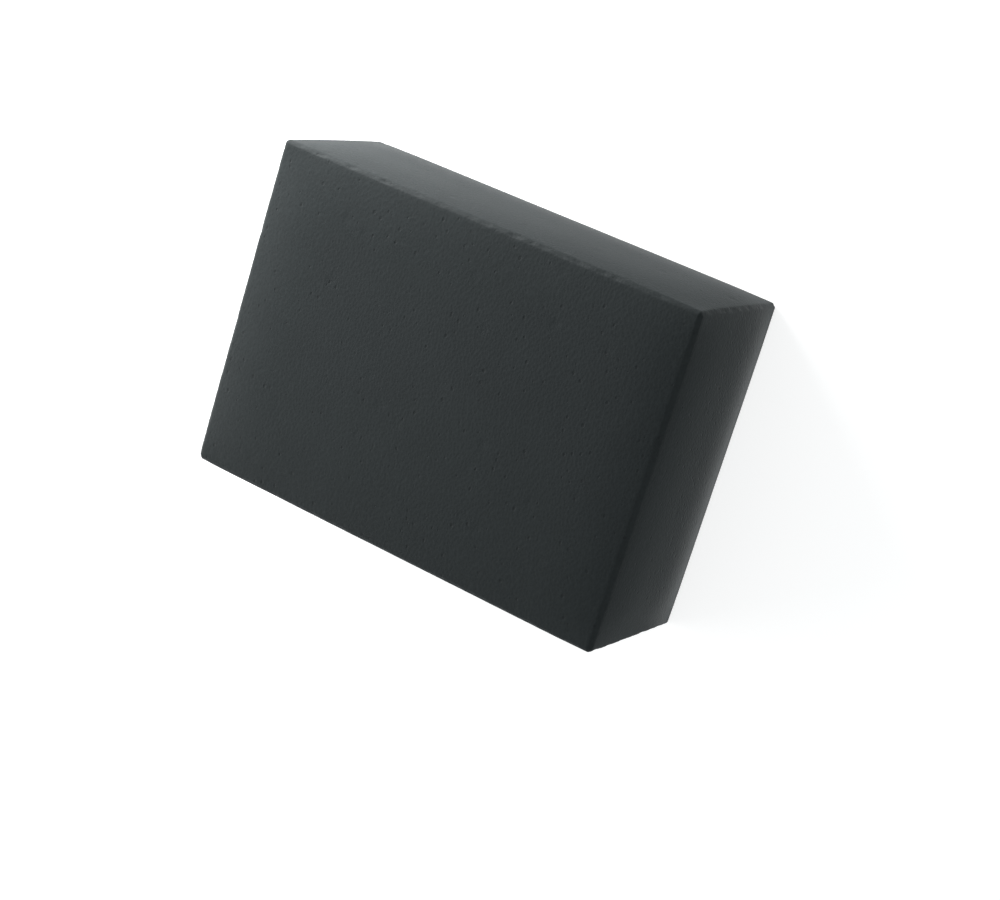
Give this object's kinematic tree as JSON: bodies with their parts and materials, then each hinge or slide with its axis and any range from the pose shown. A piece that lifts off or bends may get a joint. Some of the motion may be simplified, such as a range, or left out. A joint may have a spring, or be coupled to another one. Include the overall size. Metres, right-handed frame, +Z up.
{
  "type": "foam pad",
  "caption": "Rectangular block of fine charcoal foam with flat faces and softly rounded edges, for padding, propping or spacing things on a bench.",
  "frame": {"origin": "middle of the large face that the pad lies on", "axes": "+X along the length, +Y along the width, +Z up through the thickness"},
  "size_m": [0.07, 0.05, 0.025],
  "materials": {
    "foam": "matte"
  },
  "bodies": {
    "root": {"foam_pad": "foam"}
  },
  "joints": []
}
